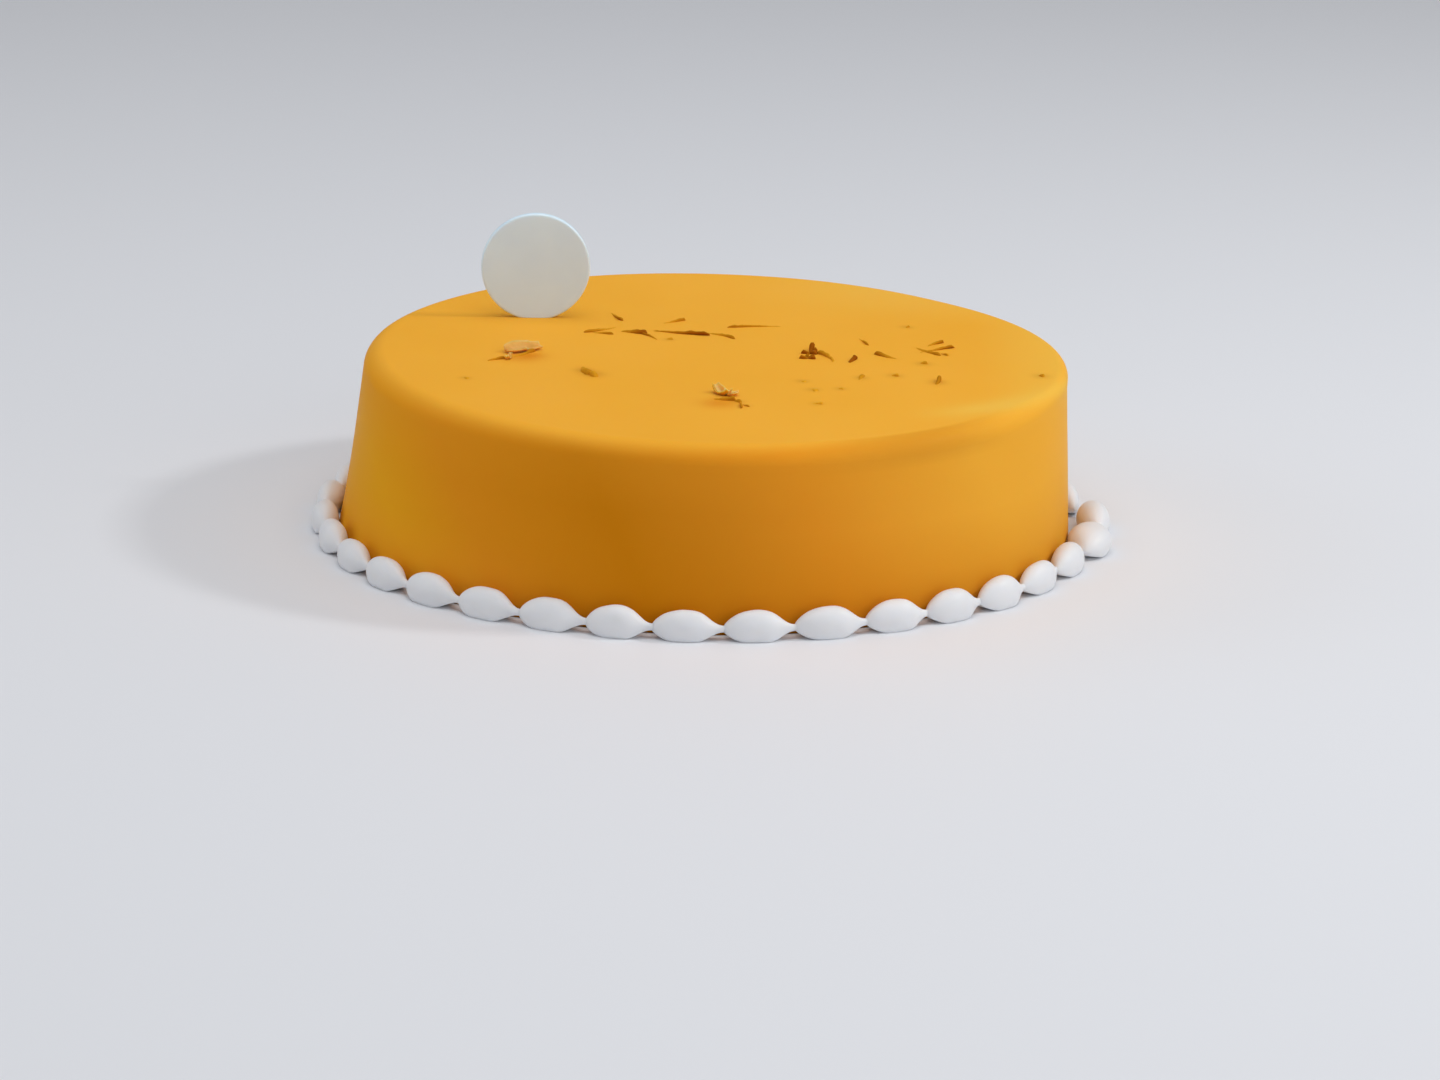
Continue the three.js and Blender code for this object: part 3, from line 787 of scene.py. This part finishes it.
def thread_loops(number, thread):
    """The loops of points round one thread, and how dark each point is.

    The thread is thin and pale at its start, and swollen, flattened, blunt and dark at its far end. A paler
    thread lies deeper in the glaze.
    """
    random.seed(number)
    phase = random.uniform(0, 6)
    size = THREAD_SLIMMER * thread.thickness
    sunk = THREAD_SUNK + PALE_SUNK * (1 - thread.depth)
    fade = THREAD_FADE if thread.length > CRUMB_LENGTH else CRUMB_FADE
    places = thread_centres(thread)
    steps = len(places) - 1
    loops = []
    depths = []
    for step, place in enumerate(places):
        along = step / steps
        swell = THREAD_START + (1 - THREAD_START) * smooth_step(along, 0, 0.8)
        blunt = math.sqrt(min(1, 0.1 + 9 * along) * min(1, 0.12 + 11 * (1 - along)))
        lumps = 1 + THREAD_LUMPS * noise.noise(Vector((place.x, place.y, number)) * LUMP_SCALE)
        radius = size / 2 * swell * blunt * lumps
        facing = (places[min(steps, step + 1)] - places[max(0, step - 1)]).normalized()
        sway = THREAD_SWAY * thread.thickness * math.sin(phase + along * thread.length * SWAY_SCALE)
        x = place.x - facing.y * sway
        y = place.y + facing.x * sway
        z = top_height(x, y) + radius - size * sunk + thread.rise * along * along
        loop = []
        for side in range(THREAD_SIDES):
            turn = 2 * math.pi * side / THREAD_SIDES
            flat = 1 - THREAD_FLATTER + THREAD_FLATTER * math.cos(2 * turn - phase)
            across = radius * math.cos(turn) * flat
            upward = radius * flat * math.sin(turn)
            loop.append(Vector((x - across * facing.y, y + across * facing.x, z + upward)))
        loops.append(loop)
        depths += [thread.depth * (1 - fade + fade * smooth_step(along, 0.3, 0.9))] * THREAD_SIDES
    return loops, depths


def make_threads(material):
    """All the saffron threads and crumbs as one piece."""
    shapes = []
    depths = []
    for number, thread in enumerate(THREADS):
        loops, more_depths = thread_loops(number, thread)
        shapes.append(loops)
        depths += more_depths
    piece = mesh_object("saffron_threads", *join_lofts(shapes), material, "thread", "cake")
    store(piece, "depth", depths)


def petal_loops(number, petal):
    """The loops of points round one petal: a thin crumpled plate with lifted ends and curled sides."""
    heading = math.radians(petal.heading)
    loops = []
    for step in range(PETAL_LENGTH_CELLS + 1):
        along = step / PETAL_LENGTH_CELLS
        swell = math.sin(math.pi * (PETAL_ROUND + (1 - 2 * PETAL_ROUND) * along**PETAL_TAPER))
        half_width = petal.width / 2 * (PETAL_END + (1 - PETAL_END) * swell)
        end_lift = petal.lift * (2 * along - 1) ** 2
        upper = []
        lower = []
        for cell in range(PETAL_WIDTH_CELLS + 1):
            across = 2 * cell / PETAL_WIDTH_CELLS - 1
            u = (along - 0.5) * petal.length
            v = across * half_width
            x = petal.x + u * math.cos(heading) - v * math.sin(heading)
            y = petal.y + u * math.sin(heading) + v * math.cos(heading)
            crumple = PETAL_CRUMPLE * noise.noise(Vector((u * 600, v * 900, number)))
            tilted = petal.tilt * (v + half_width) / petal.width
            raised = end_lift + tilted + PETAL_CURL * half_width * across**2
            z = top_height(x, y) - PETAL_SUNK + raised + crumple
            lower.append(Vector((x, y, z)))
            upper.append(Vector((x, y, z + PETAL_THICKNESS)))
        loops.append(upper + lower[::-1])
    return loops[::-1]


def make_petals(material):
    """The curled petals as one piece."""
    shapes = [petal_loops(number, petal) for number, petal in enumerate(PETALS)]
    piece = mesh_object("dried_petals", *join_lofts(shapes), material, "petal", "cake")
    share = [cell / PETAL_WIDTH_CELLS for cell in range(PETAL_WIDTH_CELLS + 1)]
    petal_across = (share + share[::-1]) * (PETAL_LENGTH_CELLS + 1)
    store(piece, "across", petal_across * len(PETALS))
    store(piece, "golden", [petal.golden for petal in PETALS for _ in petal_across])


# The piped beads


def bead_angle(index):
    """The angle at which a bead's head starts. The steps wander a little, as a piping hand does."""
    turn = 2 * math.pi * index / BEAD_COUNT
    wander = 2.4 * math.sin(2 * turn + 0.17) + 1.2 * math.sin(3 * turn + 2.19)
    angle = FIRST_BEAD_ANGLE + 360 * index / BEAD_COUNT + wander
    return math.radians(angle - EARLY_BY * nearness(math.radians(angle), EARLY_SIDE, EARLY_SPREAD))


def bead_fullness(index):
    """How full a bead is piped: a little different each time."""
    return 1 + 0.016 * math.sin(5.3 * index + 0.8) + 0.014 * math.sin(2.1 * index)


def bead_shape(along):
    """How large the bead is at a share of its length, from 0 to 1."""
    if along < HEAD_SHARE:
        return max(0.0, 1 - (1 - along / HEAD_SHARE) ** 2) ** HEAD_POWER
    in_tail = min(1.0, (along - HEAD_SHARE) / (1 - HEAD_SHARE))
    return TIP_SIZE + (1 - TIP_SIZE) * (1 - in_tail**TAIL_BEND) ** TAIL_POWER


def bead_loop(index, along, angle, ring_radius, width, height):
    """The loop of points round a bead at a share of its length, with its inner side pressed to the wall."""
    shape = bead_shape(along)
    rise = (height - TIP_HEIGHT) * shape
    drop = TIP_HEIGHT * min(1, shape * FOOT_SPREAD)
    loop = []
    for side in range(BEAD_SIDES):
        turn = math.radians(-FOOT_ANGLE + (180 + 2 * FOOT_ANGLE) * side / (BEAD_SIDES - 1))
        lift = math.sin(turn)
        soft = BEAD_UNEVENNESS * noise.noise(Vector((along * 5, turn * 1.2, index * 7))) * shape
        out = width / 2 * shape * math.cos(turn)
        if out < 0:
            out *= INNER_PRESS
        radius = ring_radius + out + soft * math.cos(turn)
        z = (rise + soft) * lift if lift > 0 else drop * lift / math.sin(math.radians(FOOT_ANGLE))
        loop.append(Vector((radius * math.cos(angle), radius * math.sin(angle), TIP_HEIGHT + z)))
    return loop


def make_bead(index, material):
    """One bead, bent round the ring, with its tail in the next bead's head."""
    start = bead_angle(index)
    following = bead_angle(index + 1) if index + 1 < BEAD_COUNT else bead_angle(0) + 2 * math.pi
    middle = (start + following) / 2
    fullness = bead_fullness(index)
    width = BEAD_WIDTH * fullness * (1 + WIDER_BY * nearness(middle, WIDE_SIDE, WIDE_SPREAD))
    height = BEAD_HEIGHT * fullness
    stray = STRAY_BY * nearness(middle, STRAY_SIDE, STRAY_SPREAD)
    ring_radius = wall_radius(middle, 0.001) + BEAD_GAP + width / 2 + stray
    step = following - start + BEAD_OVERLAP / ring_radius
    loops = []
    for ring in range(BEAD_RINGS):
        along = (1 - math.cos(math.pi * (ring + 0.3) / (BEAD_RINGS - 0.7))) / 2
        loops.append(bead_loop(index, along, start + step * along, ring_radius, width, height))
    name = f"bead_{index + 1:02d}"
    mesh_object("cream_" + name, *loft(loops), material, "cream", name)


# The plain disc


def make_disc(material):
    """A round plaque with softly rounded rims, standing on edge with its faces to the front and back."""
    half = DISC_THICKNESS / 2
    front = [(DISC_RADIUS * share, -half) for share in DISC_FACE_RINGS]
    for step in range(DISC_RIM_STEPS + 1):
        turn = -math.pi / 2 + math.pi / 2 * step / DISC_RIM_STEPS
        out = DISC_RADIUS - DISC_RIM + DISC_RIM * math.cos(turn)
        front.append((out, -half + DISC_RIM + DISC_RIM * math.sin(turn)))
    rings = front + [(radius, -y) for radius, y in reversed(front)]
    points = []
    for radius, y in rings:
        for segment in range(DISC_SEGMENTS):
            angle = 2 * math.pi * segment / DISC_SEGMENTS
            points.append(Vector((radius * math.cos(angle), y, radius * math.sin(angle))))
    points += [Vector((0, -half, 0)), Vector((0, half, 0))]
    faces = turned_faces(len(rings), DISC_SEGMENTS, flipped=True)
    middle = Vector((DISC_X, DISC_Y, top_height(DISC_X, DISC_Y) + DISC_RADIUS - DISC_SUNK))
    standing = Matrix.Translation(middle) @ Matrix.Rotation(math.radians(DISC_TURN), 4, "Z")
    placed = [standing @ point for point in points]
    mesh_object("blank_disc", placed, faces, material, "plaque", "topper_disc")


# The stage, the camera and the lights


def make_floor():
    mesh = bpy.data.meshes.new("floor")
    corners = [(FLOOR_REACH * x, FLOOR_REACH * y, 0) for x, y in ((-1, -1), (1, -1), (1, 1), (-1, 1))]
    mesh.from_pydata(corners, [], [(0, 1, 2, 3)])
    mesh.materials.append(floor_material())
    floor = bpy.data.objects.new("floor", mesh)
    bpy.context.scene.collection.objects.link(floor)


def make_camera():
    data = bpy.data.cameras.new("camera")
    data.lens = LENS_MM
    data.sensor_width = SENSOR_MM
    camera = bpy.data.objects.new("camera", data)
    tilt = Matrix.Rotation(math.radians(90 - CAMERA_DOWN), 4, "X")
    roll = Matrix.Rotation(math.radians(CAMERA_ROLL), 4, "Z")
    camera.matrix_world = Matrix.Translation(CAMERA_PLACE) @ tilt @ roll
    bpy.context.scene.collection.objects.link(camera)
    bpy.context.scene.camera = camera


def make_light(name, place, size, watts, colour):
    data = bpy.data.lights.new(name, "AREA")
    data.shape = "SQUARE"
    data.size = size
    data.energy = watts
    data.color = colour
    light = bpy.data.objects.new(name, data)
    light.location = place
    light.rotation_euler = (Vector(LIGHT_AIM) - Vector(place)).to_track_quat("-Z", "Y").to_euler()
    bpy.context.scene.collection.objects.link(light)


def make_world():
    world = bpy.data.worlds.new("studio")
    world.use_nodes = True
    background = world.node_tree.nodes["Background"]
    background.inputs["Color"].default_value = (*WORLD_COLOUR, 1)
    background.inputs["Strength"].default_value = WORLD_STRENGTH
    bpy.context.scene.world = world
    bpy.context.scene.view_settings.view_transform = "Standard"


make_floor()
make_camera()
for light in LIGHTS:
    make_light(*light)
make_world()
make_body(glaze_material())
make_threads(thread_material())
make_petals(petal_material())
cream = cream_material()
for bead_index in range(BEAD_COUNT):
    make_bead(bead_index, cream)
make_disc(plaque_material())
